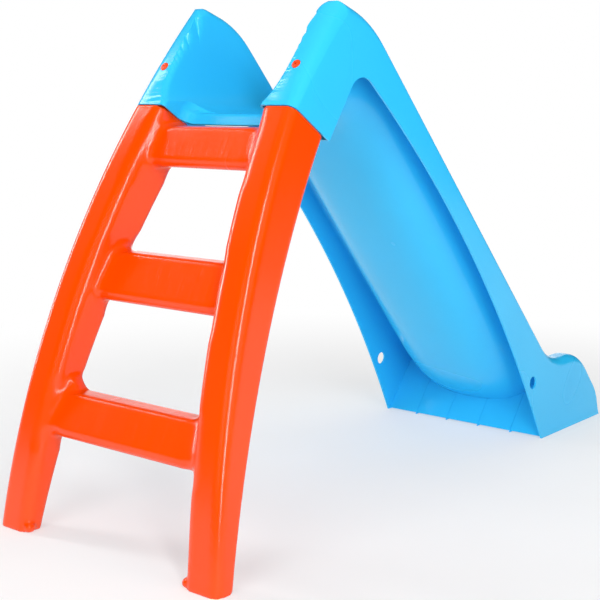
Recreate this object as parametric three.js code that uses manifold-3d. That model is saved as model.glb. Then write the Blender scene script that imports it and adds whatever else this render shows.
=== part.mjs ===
// Toddler slide: one moulded chute, one hollow ladder that plugs into it, and two fixing screws.
// Millimetres, +Z up. The child slides towards +X, and Y runs across the slide.
// x is counted from the ladder's toes while the shapes are made; the group moves it to the middle.
import * as THREE from "three";
import { mergeVertices } from "three/addons/utils/BufferGeometryUtils.js";
import Module from "manifold-3d";

const wasm = await Module();
wasm.setup();

// ---- driving dimensions -------------------------------------------------------------------

const overallLength = 1107;      // ladder toes to the exit
const overallHeight = 725;       // floor to the top of the handles
const footSpread = 424;          // across the outer sides of the ladder's feet
const chuteWidthAtFloor = 334;   // across the chute's side skirts at the floor
const chuteWidthAtTop = 293;     // across the skirts at the top of the handles

const skirtWall = 3;             // thickness of the chute's moulding
const ladderWall = 3;            // thickness of the ladder's blown wall
const slipGap = 0.8;             // ladder tongue to chute socket
const seamGap = 0.4;             // ladder shoulder to chute edge
const screwGap = 0.3;            // screw to every hole

const handleHeight = 138;        // top of the handles above the seam
const ladderFootLean = 7.3;      // degrees from vertical at the floor
const ladderTopLean = 33.5;      // degrees from vertical at the seam
const stileWidth = 59;           // across one stile
const stileDepthAtFoot = 32;
const stileDepthAtSeam = 77;
const stileDepthBulge = 0.35;    // how soon the depth grows on the way up
const stileFrontRadius = 17;
const stileBackRadius = 8;
const tongueLength = 82;         // how far each stile reaches up into its handle
const tongueTopDepth = 53;
const toeBead = 5;               // small bead at the inner side of each foot
const toeBeadLength = 8;         // half the bead's length
const drainRadius = 4;           // blowing and drain hole under each foot

const lowestStepBottom = 134;
const topStepDrop = 74;                  // underside of the top step below the platform
const stepFaces = [57, 67, 60];          // height of each step's front face, from the top
const stepSetBacks = [25, 25, 5];        // foot of each face behind the stiles' front
const stepFaceLean = 27;                 // degrees from vertical
const stepNoseRadius = 9;
const stepHeelRadius = 12;

const seatDrop = 14;             // platform between the handles below the seam
const seatSetBack = 52;          // platform lip behind the handles' front, square to the seam
const seatCornerRadius = 36;     // corner between the platform lip and each handle
const handlePower = 4.5;         // squareness of the trough between the handles
const slidePower = 2.6;          // squareness of the trough down the slide
const handleRun = 160;           // length over which one shape turns into the other
const legLap = 1.5;              // chute's leg beside the stile, on its inner side
const legLapBehind = 12;         // chute's leg behind the stile
const handleTopWidth = 38;       // top of a handle, across
const handleEdgeRadius = 26;     // outer front edge near the top of a handle
const apexRadius = 15;
const roundingLoss = 4;          // the apex's rounding takes this off its sharp corner
const shoulderRun = 122;         // top of a handle to the straight part of the rim
const shoulderDrop = 76;
const shoulderSlope = 0.35;
const shoulderRadius = 280;
const rimWidth = 42;             // rim beside the trough, across
const rimRadius = 16;
const screwReach = 65;           // seam to screw, up the handle's front
const screwAcross = 0.45;        // place across the stile, from its outer side

const exitFloor = 14;            // top of the trough's floor at the exit
const exitRun = 51;              // level floor before the exit
const floorSteeper = 1.05;       // the trough's floor falls a little faster than its rim
const runOutRadius = 300;
const platformRadius = 120;      // bend where the platform turns down into the slide
const exitWallHeight = 131.5;    // side walls beside the exit
const exitWallLength = 186;
const exitWallFootRadius = 110;  // bend between the rim's slope and the level wall
const noseLength = 77;           // curved front end of a side wall
const noseRadius = 85;
const noseShare = 0.42;          // height of the nose's lower bend, of the wall's height
const noseSetBack = 10;
const noseFootRadius = 60;
const skirtFootLength = 224;     // skirt along the floor
const skirtRearBow = 38;         // how far the skirt's rear edge bows
const notchReach = 112;          // top of that edge, from the leg's rear corner
const notchRise = 67;
const legRearAngle = 54.2;       // degrees of the notch's front edge above level
const archRadius = 42;           // notch between the leg and the skirt's rear edge
const sideHoleRadius = 11;
const sideHoleHeight = 106;
const sideHoleBeforeHeel = 31;
const ribThickness = 2.5;
const ribSpacing = 67.5;
const ribOffsets = [-1.5, -0.5, 0.5, 1.5];
const plateWall = 3;
const plateAngle = 51;           // degrees of the leaning plate above level
const plateLift = 2.5;           // plate's foot above the floor

const screwHeadRadius = 6.5;
const screwHeadHeight = 3;
const screwHeadSunk = 0.3;       // head below the handle's front
const screwShankRadius = 3.5;
const screwLength = 24;
const screwSlotLength = 8;
const screwSlotWidth = 1.6;
const screwSlotDepth = 1.5;
const screwBossRadius = 10;
const screwBossDepth = 5;

const seamHeight = overallHeight - handleHeight;
const seatHeight = seamHeight - seatDrop;
const legWidth = stileWidth + legLap;
const legDepthAtSeam = stileDepthAtSeam + legLapBehind;
const skirtHeel = overallLength - skirtFootLength;

const finestDetail = 0.02;       // slivers under this size are merged away
const overshoot = 20;            // how far cutting shapes run past what they cut
const space = 2000;              // larger than the whole slide

// ---- small geometry helpers ---------------------------------------------------------------

const radians = THREE.MathUtils.degToRad;
const lerp = THREE.MathUtils.lerp;
const clamp = THREE.MathUtils.clamp;

/** Turns a closed three.js geometry into a solid. */
function solid(geometry) {
  const bare = geometry.clone();
  bare.deleteAttribute("normal");
  bare.deleteAttribute("uv");
  const merged = mergeVertices(bare, 1e-4);
  const mesh = new wasm.Mesh({
    numProp: 3,
    vertProperties: new Float32Array(merged.attributes.position.array),
    triVerts: new Uint32Array(merged.index.array),
  });
  return new wasm.Manifold(mesh);
}

/** Turns a solid back into a geometry, without the slivers that cuts leave. */
function geometryOf(body) {
  const mesh = body.simplify(finestDetail).getMesh();
  const geometry = new THREE.BufferGeometry();
  geometry.setAttribute("position", new THREE.BufferAttribute(mesh.vertProperties, 3));
  geometry.setIndex(new THREE.BufferAttribute(mesh.triVerts, 1));
  return geometry;
}

/** One solid of several. */
function union(bodies) {
  return bodies.reduce((sum, body) => sum.add(body));
}

/** Volume enclosed by rings of points, used only for its sign. */
function signedVolume(points, triangles) {
  let total = 0;
  for (const [a, b, c] of triangles) {
    total += points[a].dot(new THREE.Vector3().crossVectors(points[b], points[c]));
  }
  return total / 6;
}

/** A solid skinned over rings that hold the same number of Vector3 points, with flat ends. */
function loft(rings) {
  const count = rings[0].length;
  const points = rings.flat();
  const triangles = [];
  for (let r = 0; r + 1 < rings.length; r += 1) {
    for (let i = 0; i < count; i += 1) {
      const j = (i + 1) % count;
      const a = r * count + i;
      const b = r * count + j;
      triangles.push([a, b, b + count], [a, b + count, a + count]);
    }
  }
  const lastStart = (rings.length - 1) * count;
  for (const [start, ring] of [[0, rings[0]], [lastStart, rings[rings.length - 1]]]) {
    const centre = ring.reduce((sum, p) => sum.add(p), new THREE.Vector3()).divideScalar(count);
    const middle = points.push(centre) - 1;
    for (let i = 0; i < count; i += 1) {
      const j = (i + 1) % count;
      triangles.push(start === 0 ? [start + j, start + i, middle] : [start + i, start + j, middle]);
    }
  }
  if (signedVolume(points, triangles) < 0) {
    triangles.forEach((triangle) => triangle.reverse());
  }
  const geometry = new THREE.BufferGeometry().setFromPoints(points);
  geometry.setIndex(triangles.flat());
  return solid(geometry);
}

/** Points along an outline whose corners are rounded; each corner is {x, z, r}. */
function roundedOutline(corners, closed = true, stepAngle = 14) {
  const points = [];
  corners.forEach((corner, i) => {
    const isEnd = !closed && (i === 0 || i === corners.length - 1);
    const here = new THREE.Vector2(corner.x, corner.z);
    if (isEnd || !corner.r) {
      points.push(here);
      return;
    }
    const before = corners[(i + corners.length - 1) % corners.length];
    const after = corners[(i + 1) % corners.length];
    const toBefore = new THREE.Vector2(before.x, before.z).sub(here);
    const toAfter = new THREE.Vector2(after.x, after.z).sub(here);
    const reach = 0.49 * Math.min(toBefore.length(), toAfter.length());
    toBefore.normalize();
    toAfter.normalize();
    const halfAngle = Math.acos(clamp(toBefore.dot(toAfter), -1, 1)) / 2;
    const tangent = Math.min(corner.r / Math.tan(halfAngle), reach);
    const radius = tangent * Math.tan(halfAngle);
    const bisector = toBefore.clone().add(toAfter).normalize();
    const centre = here.clone().addScaledVector(bisector, radius / Math.sin(halfAngle));
    const from = here.clone().addScaledVector(toBefore, tangent).sub(centre);
    const to = here.clone().addScaledVector(toAfter, tangent).sub(centre);
    const sweep = Math.atan2(from.x * to.y - from.y * to.x, from.dot(to));
    const steps = Math.max(2, Math.round(Math.abs(sweep) / radians(stepAngle)));
    for (let k = 0; k <= steps; k += 1) {
      points.push(from.clone().rotateAround(new THREE.Vector2(), (sweep * k) / steps).add(centre));
    }
  });
  return points;
}

/** A slab whose outline is drawn in x and z, between two values of y. */
function sideSlab(outline, yFrom, yTo) {
  const shape = new THREE.Shape(outline.map((p) => new THREE.Vector2(p.x, p.y)));
  const geometry = new THREE.ExtrudeGeometry(shape, { depth: yTo - yFrom, bevelEnabled: false });
  geometry.rotateX(Math.PI / 2);
  geometry.translate(0, yTo, 0);
  return solid(geometry);
}

/** An outline moved to its left by a distance; an open one keeps its two ends square. */
function offsetLine(line, distance, closed = false) {
  const last = line.length - 1;
  return line.map((point, i) => {
    const before = line[i === 0 && closed ? last : Math.max(i - 1, 0)];
    const after = line[i === last && closed ? 0 : Math.min(i + 1, last)];
    const a = point.clone().sub(before).normalize();
    const b = after.clone().sub(point).normalize();
    const normal = new THREE.Vector2(-(a.y + b.y), a.x + b.x);
    const stretch = closed || (i > 0 && i < last) ? Math.max(0.5, normal.length() / 2) : 1;
    return point.clone().addScaledVector(normal.normalize(), distance / stretch);
  });
}

/** Height of an open outline at x. */
function heightAt(outline, x) {
  for (let i = 0; i + 1 < outline.length; i += 1) {
    const a = outline[i];
    const b = outline[i + 1];
    if (a.x <= x && x <= b.x && b.x > a.x) return lerp(a.y, b.y, (x - a.x) / (b.x - a.x));
  }
  return x < outline[0].x ? outline[0].y : outline[outline.length - 1].y;
}

// ---- ladder line and seam -----------------------------------------------------------------

const footLean = radians(ladderFootLean);
const topLean = radians(ladderTopLean);
const frontRadius = seamHeight / (Math.sin(topLean) - Math.sin(footLean));

/** Front of the ladder at a lean: the front faces bow along one arc. */
function ladderFront(lean) {
  return {
    x: frontRadius * (Math.cos(footLean) - Math.cos(lean)),
    z: frontRadius * (Math.sin(lean) - Math.sin(footLean)),
  };
}

const seamFront = ladderFront(topLean);
const along = new THREE.Vector3(Math.sin(topLean), 0, Math.cos(topLean));
const inward = new THREE.Vector3(Math.cos(topLean), 0, -Math.sin(topLean));

/** A point in the seam's own axes: depth behind the front, y, and rise up the handle. */
function seamPoint(depth, y, rise) {
  return new THREE.Vector3(seamFront.x, y, seamFront.z)
    .addScaledVector(inward, depth)
    .addScaledVector(along, rise);
}

/** Half the chute's width at a height. */
function skirtHalf(z) {
  return lerp(chuteWidthAtFloor, chuteWidthAtTop, z / overallHeight) / 2;
}

// ---- side outline of the chute --------------------------------------------------------------


/** Lean of the bowed front at a height. */
function leanAt(z) {
  return Math.asin(z / frontRadius + Math.sin(footLean));
}

/** Where two lines cross, each given by a point and how much z it loses with x. */
function crossing(a, slopeA, b, slopeB) {
  const x = (b.z + slopeB * b.x - a.z - slopeA * a.x) / (slopeB - slopeA);
  return { x, z: a.z - slopeA * (x - a.x) };
}

const apexLean = leanAt(overallHeight + roundingLoss);
const apexCorner = { ...ladderFront(apexLean), r: apexRadius };
const slopeTop = { x: apexCorner.x + shoulderRun, z: overallHeight - shoulderDrop };
const slopeFoot = { x: overallLength - exitWallLength, z: exitWallHeight };
const slideSlope = (slopeTop.z - slopeFoot.z) / (slopeFoot.x - slopeTop.x);
const shoulder = crossing(apexCorner, shoulderSlope, slopeTop, slideSlope);

const frontSteps = 5;
const handleFront = Array.from(
  { length: frontSteps },
  (_, i) => ladderFront(lerp(topLean, leanAt(overallHeight - apexRadius), i / (frontSteps - 1))),
);
const rimCorners = [
  ...handleFront,
  apexCorner,
  { ...shoulder, r: shoulderRadius },
  { ...slopeFoot, r: exitWallFootRadius },
  { x: overallLength - noseLength, z: exitWallHeight, r: noseRadius },
  { x: overallLength - noseSetBack, z: noseShare * exitWallHeight, r: noseFootRadius },
  { x: overallLength, z: 0 },
];
const rimLine = roundedOutline(rimCorners, false, 9);

const legRear = seamPoint(legDepthAtSeam, 0, 0);
const skirtRearTop = { x: legRear.x + notchReach, z: legRear.z + notchRise };

/** Rear edge of the skirt: a shallow arc from the heel up towards the notch. */
function skirtRearEdge() {
  const heel = new THREE.Vector2(skirtHeel, 0);
  const top = new THREE.Vector2(skirtRearTop.x, skirtRearTop.z);
  const span = top.clone().sub(heel);
  const outward = new THREE.Vector2(span.y, -span.x).normalize();
  const points = [];
  const steps = 12;
  for (let i = 0; i < steps; i += 1) {
    const t = i / steps;
    const bow = 4 * skirtRearBow * t * (1 - t);
    points.push(heel.clone().addScaledVector(span, t).addScaledVector(outward, bow));
  }
  return points;
}

const rearEdge = skirtRearEdge();
const rearEnd = rearEdge[rearEdge.length - 1];
const rearEndSlope = (skirtRearTop.z - rearEnd.y) / (rearEnd.x - skirtRearTop.x);
const archCorner = crossing(legRear, -Math.tan(radians(legRearAngle)), skirtRearTop, rearEndSlope);
const archLine = roundedOutline([
  { x: rearEnd.x, z: rearEnd.y },
  { ...archCorner, r: archRadius },
  { x: legRear.x, z: legRear.z },
], false, 16);

const underLine = [...rearEdge, ...archLine.slice(1)];
const skirtOutline = [...rimLine, ...underLine];
const behindLip = new THREE.Vector2(legRear.x + legWidth, 0);
const troughOutline = [...rimLine, behindLip, new THREE.Vector2(legRear.x, legRear.z)];

/** Outline of the space under the moulding: inside the rim, and open along the underside. */
function hollowOutline(wall) {
  const up = new THREE.Vector2(along.x, along.z);
  const rim = offsetLine(rimLine, -wall);
  const under = offsetLine(underLine, overshoot);
  const first = rim[0].clone().addScaledVector(up, -2 * overshoot);
  const last = rim[rim.length - 1].clone().add(new THREE.Vector2(0, -2 * overshoot));
  const heel = new THREE.Vector2(skirtHeel - overshoot, -2 * overshoot);
  const legEnd = under[under.length - 1].clone().addScaledVector(up, -2 * overshoot);
  return [first, ...rim, last, heel, ...under, legEnd];
}

// ---- trough ---------------------------------------------------------------------------------

const floorSlope = slideSlope * floorSteeper;
const runOutAngle = Math.atan(floorSlope);
const runOutEnd = overallLength - exitRun;
const runOutStart = {
  x: runOutEnd - runOutRadius * Math.sin(runOutAngle),
  z: exitFloor + runOutRadius * (1 - Math.cos(runOutAngle)),
};
const seatEndX = runOutStart.x - (seatHeight - runOutStart.z) / floorSlope;
const floorLine = roundedOutline([
  { x: -footSpread, z: seatHeight },
  { x: seatEndX, z: seatHeight, r: platformRadius },
  { x: runOutEnd - runOutRadius * Math.tan(runOutAngle / 2), z: exitFloor, r: runOutRadius },
  { x: overallLength + footSpread, z: exitFloor },
], false, 6);

/** How far along the change from handle to open slide a place is, 0 to 1. */
function slideShare(x) {
  return THREE.MathUtils.smoothstep(x, apexCorner.x, apexCorner.x + handleRun);
}

/**
 * One cross-section of the trough's hollow at x, grown outwards by a thickness.
 * Its floor and sides are one superellipse, squarer between the handles.
 */
function troughRing(x, grow) {
  const share = slideShare(x);
  const rim = x < apexCorner.x ? overallHeight : heightAt(rimLine, x);
  const slopeHere = (heightAt(floorLine, x - 2) - heightAt(floorLine, x + 2)) / 4;
  const floor = heightAt(floorLine, x) - grow * Math.hypot(1, slopeHere);
  const half = skirtHalf(rim) - lerp(handleTopWidth, rimWidth, share) + grow;
  const power = lerp(handlePower, slidePower, share);
  const open = rim + 2 * apexRadius;
  const ring = [new THREE.Vector3(x, half, open)];
  const steps = 10;
  for (let i = 0; i <= 2 * steps; i += 1) {
    const angle = (Math.PI * i) / (2 * steps);
    const across = Math.sign(Math.cos(angle)) * Math.abs(Math.cos(angle)) ** (2 / power);
    const down = Math.abs(Math.sin(angle)) ** (2 / power);
    ring.push(new THREE.Vector3(x, half * across, lerp(rim, floor, down)));
  }
  ring.push(new THREE.Vector3(x, -half, open));
  return ring;
}

/** Values of x where the slide's shape changes, closer together where it bends, all shifted. */
function stations(shift) {
  const from = seamFront.x - legDepthAtSeam;
  const to = overallLength + 2 * overshoot;
  const closest = 11;
  const list = [from];
  const bends = [...rimLine, ...floorLine].map((p) => p.x);
  const handle = Array.from({ length: 7 }, (_, i) => apexCorner.x + (handleRun * i) / 6);
  for (const x of [...bends, ...handle].sort((a, b) => a - b)) {
    if (x > list[list.length - 1] + closest && x < to - closest) list.push(x);
  }
  return [...list, to].map((x) => x + shift);
}

/** The trough's hollow from end to end, grown outwards by a thickness. */
function troughVoid(grow) {
  return loft(stations(0).map((x) => troughRing(x, grow)));
}

/** The open corner in front of the platform's lip, below the seat, grown by a thickness. */
function lipVoid(grow) {
  const half = skirtHalf(seamHeight) - legWidth + grow;
  const depth = seatSetBack + grow;
  const corners = [
    { x: -legWidth, z: -half },
    { x: depth, z: -half, r: seatCornerRadius },
    { x: depth, z: half, r: seatCornerRadius },
    { x: -legWidth, z: half },
  ];
  const section = roundedOutline(corners, true, 18);
  return loft([-legWidth, legWidth].map((rise) => section.map((p) => seamPoint(p.x, p.y, rise))));
}

// ---- chute ------------------------------------------------------------------------------------

/** A square block about a centre, for cutting. */
function block(x, y, z, width, depth, height) {
  return solid(new THREE.BoxGeometry(width, depth, height).translate(x, y, z));
}

/**
 * The chute's outer block inside a side outline, shrunk across and on top by a thickness.
 * The block with rounded edges stands a little proud of the outline, which trims its top.
 */
function skirtBlock(outline, shrink) {
  const slab = sideSlab(outline, -footSpread, footSpread);
  const radius = rimRadius - shrink;
  const below = -2 * overshoot;
  const shift = 4;
  const proud = 0.5;
  const rounded = loft(stations(shift).map((x) => {
    const top = (x < apexCorner.x ? overallHeight : heightAt(rimLine, x)) + proud - shrink;
    const half = skirtHalf(top) - shrink;
    const ring = [new THREE.Vector3(x, skirtHalf(below) - shrink, below)];
    const steps = 4;
    for (let i = 0; i <= steps; i += 1) {
      const angle = (Math.PI / 2) * (i / steps);
      const y = half - radius + radius * Math.cos(angle);
      ring.push(new THREE.Vector3(x, y, top - radius + radius * Math.sin(angle)));
    }
    const mirrored = ring.map((p) => new THREE.Vector3(x, -p.y, p.z)).reverse();
    return [...ring, ...mirrored];
  }));
  const behindHandles = block(apexCorner.x + overshoot + space / 2, 0, 0, space, space, space);
  const body = slab.intersect(rounded);
  return body.intersect(handleColumn(shrink)).add(body.intersect(behindHandles));
}

/** Everything behind the bowed front of the handles, with its outer edges rounded. */
function handleColumn(shrink) {
  const straight = 60;
  const margin = radians(9);
  const steps = 8;
  const rings = [];
  for (let i = 0; i <= steps; i += 1) {
    const lean = lerp(topLean - margin, apexLean + margin, i / steps);
    const front = ladderFront(lean);
    const rise = clamp((front.z - seamHeight) / handleHeight, 0, 1);
    const half = skirtHalf(front.z) - shrink;
    const edge = lerp(stileFrontRadius, handleEdgeRadius, rise) - shrink;
    const section = roundedOutline([
      { x: shrink, z: -half, r: edge },
      { x: straight, z: -half - 1 },
      { x: footSpread, z: -half - straight },
      { x: footSpread, z: half + straight },
      { x: straight, z: half + 1 },
      { x: shrink, z: half, r: edge },
    ], true, 18);
    rings.push(section.map((p) => new THREE.Vector3(
      front.x + p.x * Math.cos(lean), p.y, front.z - p.x * Math.sin(lean))));
  }
  return loft(rings);
}

/** A square tube or bar along the handle, from one depth, y and rise to another. */
function handleBar(depths, ys, rises, side) {
  const corners = [[0, 0], [1, 0], [1, 1], [0, 1]];
  return loft(rises.map((rise) => corners.map(([d, y]) => seamPoint(depths[d], side * ys[y], rise))));
}

/** Walls of the socket that takes one stile's tongue; side is +1 or -1. */
function legSocket(side) {
  const outer = skirtHalf(seamHeight) + overshoot;
  const inner = skirtHalf(seamHeight) - legWidth;
  const top = tongueLength + overshoot;
  const walls = handleBar([-overshoot, legDepthAtSeam], [inner, outer], [-overshoot, top], side);
  const hollow = handleBar(
    [-2 * overshoot, legDepthAtSeam - skirtWall], [inner + skirtWall, outer + overshoot],
    [-2 * overshoot, top + overshoot], side);
  return walls.subtract(hollow);
}

const screwFromMiddle = skirtHalf(seamHeight) - screwAcross * stileWidth;

/** A cylinder along the screw's axis, from one depth behind the handle's front to another. */
function screwCylinder(radius, from, to, side, sides = 24) {
  const geometry = new THREE.CylinderGeometry(radius, radius, to - from, sides);
  geometry.rotateZ(Math.PI / 2);
  geometry.translate((from + to) / 2, 0, 0);
  geometry.rotateY(topLean);
  const centre = seamPoint(0, side * screwFromMiddle, screwReach);
  geometry.translate(centre.x, centre.y, centre.z);
  return solid(geometry);
}

/** The leaning plate that closes the run-out from behind, with the ribs in front of it. */
function runOutBracing() {
  const angle = radians(plateAngle);
  const heel = skirtHeel + plateWall;
  const lean = (height) => height / Math.tan(angle);
  const thick = plateWall / Math.sin(angle);
  const plate = sideSlab([
    new THREE.Vector2(heel, plateLift),
    new THREE.Vector2(heel + thick, plateLift),
    new THREE.Vector2(heel + thick + lean(exitWallHeight), plateLift + exitWallHeight),
    new THREE.Vector2(heel + lean(exitWallHeight), plateLift + exitWallHeight),
  ], -footSpread, footSpread);
  const rib = [
    new THREE.Vector2(skirtHeel, 0),
    new THREE.Vector2(overallLength - skirtWall, 0),
    new THREE.Vector2(overallLength - skirtWall, exitWallHeight),
    new THREE.Vector2(skirtHeel + lean(exitWallHeight), exitWallHeight),
  ];
  const ribs = ribOffsets.map((n) => sideSlab(
    rib, n * ribSpacing - ribThickness / 2, n * ribSpacing + ribThickness / 2));
  return union([plate, ...ribs]);
}

/** The round hole through both skirts, which leaves the trough between them whole. */
function sideHoles() {
  const x = skirtHeel - sideHoleBeforeHeel;
  const hole = new THREE.CylinderGeometry(sideHoleRadius, sideHoleRadius, 2 * footSpread, 28);
  hole.translate(x, 0, sideHoleHeight);
  const between = 2 * (skirtHalf(sideHoleHeight) - 3 * skirtWall);
  return solid(hole).subtract(block(x, 0, sideHoleHeight, footSpread, between, footSpread));
}

function chute() {
  const sides = [-1, 1];
  const insideSkin = skirtWall / 2;
  const skirts = skirtBlock(skirtOutline, 0)
    .subtract(skirtBlock(hollowOutline(skirtWall), skirtWall));
  const trough = troughVoid(skirtWall).add(lipVoid(skirtWall))
    .intersect(skirtBlock(troughOutline, insideSkin));
  const bosses = sides.map((side) => screwCylinder(screwBossRadius, 0, screwBossDepth, side));
  const braces = union([...sides.map(legSocket), runOutBracing(), ...bosses])
    .intersect(skirtBlock(skirtOutline, insideSkin));
  const heads = sides.map((side) => screwCylinder(
    screwHeadRadius + screwGap, -overshoot, screwHeadHeight + screwGap, side));
  const shanks = sides.map((side) => screwCylinder(
    screwShankRadius + screwGap, -overshoot, screwLength + screwGap, side));
  return union([skirts, trough, braces])
    .subtract(union([troughVoid(0), lipVoid(0), sideHoles(), ...heads, ...shanks]));
}

// ---- ladder -----------------------------------------------------------------------------------

/** Depth of a stile, square to its front, at a share of the way from foot to seam. */
function stileDepth(share) {
  return lerp(stileDepthAtFoot, stileDepthAtSeam, share * (1 + stileDepthBulge * (1 - share)));
}

const seamOuter = skirtHalf(seamHeight);

/** Outer side of a stile at a height: it splays from the seam out to the feet. */
function stileOuter(z) {
  return lerp(footSpread / 2, seamOuter, z / seamHeight);
}

/** One section of a stile, shrunk all round, as points in y and depth. */
function stileSection(middle, width, near, far, shrink) {
  const half = width / 2 - shrink;
  const front = { x: near + shrink, r: stileFrontRadius - shrink };
  const back = { x: far - shrink, r: stileBackRadius - shrink };
  return roundedOutline([
    { ...front, z: middle - half },
    { ...back, z: middle - half },
    { ...back, z: middle + half },
    { ...front, z: middle + half },
  ], true, 30);
}

/** Places a stile section at a lean along the bowed front. */
function placeSection(section, lean, side) {
  const front = ladderFront(lean);
  return section.map((p) => new THREE.Vector3(
    front.x + p.x * Math.cos(lean), side * p.y, front.z - p.x * Math.sin(lean)));
}

/** Inner side of the handle's moulding at a height. */
function handleInner(z) {
  const down = clamp((overallHeight - z) / (overallHeight - seatHeight), 0, 1);
  const half = skirtHalf(overallHeight) - handleTopWidth;
  const across = half * (1 - down ** handlePower) ** (1 / handlePower);
  return Math.max(across, skirtHalf(seamHeight) - legWidth) + skirtWall;
}

/** A tongue's section at a rise above the seam, shrunk all round. */
function tongueRing(rise, side, shrink) {
  const share = Math.max(0, rise / tongueLength);
  const z = seamPoint(0, 0, rise).z;
  const taper = 2 * share;
  const outer = skirtHalf(z) - skirtWall - slipGap - taper;
  const inner = handleInner(z) + 2 * slipGap;
  const near = screwBossDepth + slipGap + taper;
  const far = lerp(stileDepthAtSeam - skirtWall - 2 * slipGap, tongueTopDepth, share);
  const corners = stileSection((outer + inner) / 2, outer - inner, near, far, shrink);
  return corners.map((p) => seamPoint(p.x, side * p.y, rise));
}

/** One stile with its tongue, or its hollow when shrink is the wall's thickness. */
function stile(side, shrink) {
  const rings = [];
  const steps = 12;
  for (let i = -1; i <= steps; i += 1) {
    const share = i / steps;
    const lean = lerp(footLean, topLean, share);
    const z = Math.max(0, ladderFront(lean).z);
    const section = stileSection(
      stileOuter(z) - stileWidth / 2, stileWidth, 0, stileDepth(Math.max(0, share)), shrink);
    rings.push(placeSection(section, lean, side));
  }
  const down = seamGap + shrink;
  rings[rings.length - 1] = rings[rings.length - 1].map((p) => p.clone().addScaledVector(along, -down));
  const tongueSteps = 4;
  for (let i = 0; i <= tongueSteps; i += 1) {
    rings.push(tongueRing(lerp(-down, tongueLength - shrink, i / tongueSteps), side, shrink));
  }
  return loft(rings);
}

/** One step, counted from the top, or its hollow when shrink is the wall's thickness. */
function step(index, shrink) {
  const topBottom = seatHeight - topStepDrop;
  const bottom = lerp(topBottom, lowestStepBottom, index / (stepFaces.length - 1));
  const tread = bottom + stepFaces[index];
  const lean = leanAt(bottom);
  const stileFront = ladderFront(lean).x;
  const front = stileFront + stepSetBacks[index];
  const rear = stileFront + stileDepth((lean - footLean) / (topLean - footLean)) / Math.cos(lean);
  const run = stepFaces[index] * Math.tan(radians(stepFaceLean));
  const outline = offsetLine(roundedOutline([
    { x: front, z: bottom, r: stepHeelRadius },
    { x: rear, z: bottom, r: stepNoseRadius },
    { x: rear + run, z: tread, r: stepNoseRadius },
    { x: front + run, z: tread, r: stepNoseRadius },
  ], true, 24), shrink, true);
  const half = stileOuter(tread) - stileWidth / 2;
  return sideSlab(outline, -half, half);
}

/** Bead on the inner side of a foot. */
function toe(side) {
  const bead = new THREE.SphereGeometry(toeBead, 12, 8);
  bead.scale(toeBeadLength / toeBead, 1, 1);
  bead.translate(stileDepthAtFoot / 3, side * (footSpread / 2 - stileWidth + 1), toeBead);
  return solid(bead);
}

/** Blowing and drain hole through the sole of a foot. */
function drain(side) {
  const hole = new THREE.CylinderGeometry(drainRadius, drainRadius, 4 * ladderWall, 16);
  hole.rotateX(Math.PI / 2);
  hole.translate(stileDepthAtFoot / 2, side * (footSpread - stileWidth) / 2, 0);
  return solid(hole);
}

function ladder() {
  const sides = [-1, 1];
  const indices = stepFaces.map((_, index) => index);
  const above = (z) => block(0, 0, z + space / 2, space, space, space);
  const outer = union([
    ...sides.map((side) => stile(side, 0)),
    ...sides.map(toe),
    ...indices.map((index) => step(index, 0)),
  ]).intersect(above(0));
  const hollow = union([
    ...sides.map((side) => stile(side, ladderWall)),
    ...indices.map((index) => step(index, ladderWall)),
  ]).intersect(above(ladderWall));
  const bosses = sides.map((side) => screwCylinder(
    screwBossRadius, screwBossDepth + slipGap + 0.5, screwLength + ladderWall, side));
  const bores = sides.map((side) => screwCylinder(
    screwShankRadius + screwGap, 0, screwLength + screwGap, side));
  const wall = outer.subtract(hollow.subtract(union(bosses)));
  return wall.subtract(union([...bores, ...sides.map(drain)]));
}

// ---- fixing screws ------------------------------------------------------------------------------

/** A screw with a sunk head and a cross slot, driven in square to the seam's front. */
function fixingScrew(side) {
  const head = screwCylinder(screwHeadRadius, screwHeadSunk, screwHeadHeight, side);
  const shank = screwCylinder(screwShankRadius, screwHeadHeight - 0.5, screwLength, side);
  const slot = (width, height) => {
    const cut = new THREE.BoxGeometry(2 * screwSlotDepth, width, height);
    cut.rotateY(topLean);
    const centre = seamPoint(screwHeadSunk, side * screwFromMiddle, screwReach);
    return solid(cut.translate(centre.x, centre.y, centre.z));
  };
  const cross = slot(screwSlotLength, screwSlotWidth).add(slot(screwSlotWidth, screwSlotLength));
  return head.add(shank).subtract(cross);
}

// ---- materials and assembly -----------------------------------------------------------------------

const blue = { color: 0x46c8ff, roughness: 0.35, metalness: 0 };
const orange = { color: 0xff4800, roughness: 0.3, metalness: 0 };

const slide = new THREE.Group();
slide.position.x = -overallLength / 2;

function place(name, body, look) {
  const mesh = new THREE.Mesh(geometryOf(body), new THREE.MeshStandardMaterial(look));
  mesh.name = name;
  slide.add(mesh);
}

place("chute", chute(), blue);
place("ladder", ladder(), orange);
place("fixing_screw_left", fixingScrew(1), orange);
place("fixing_screw_right", fixingScrew(-1), orange);

export default slide;
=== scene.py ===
"""Toddler slide: smooth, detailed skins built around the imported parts.

Lengths are millimetres until a mesh is made. x is counted from the ladder's toes, like the part's
own drawing, and MID moves it to the frame's origin. The child slides towards +x, y runs across.
"""
import math

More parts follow.
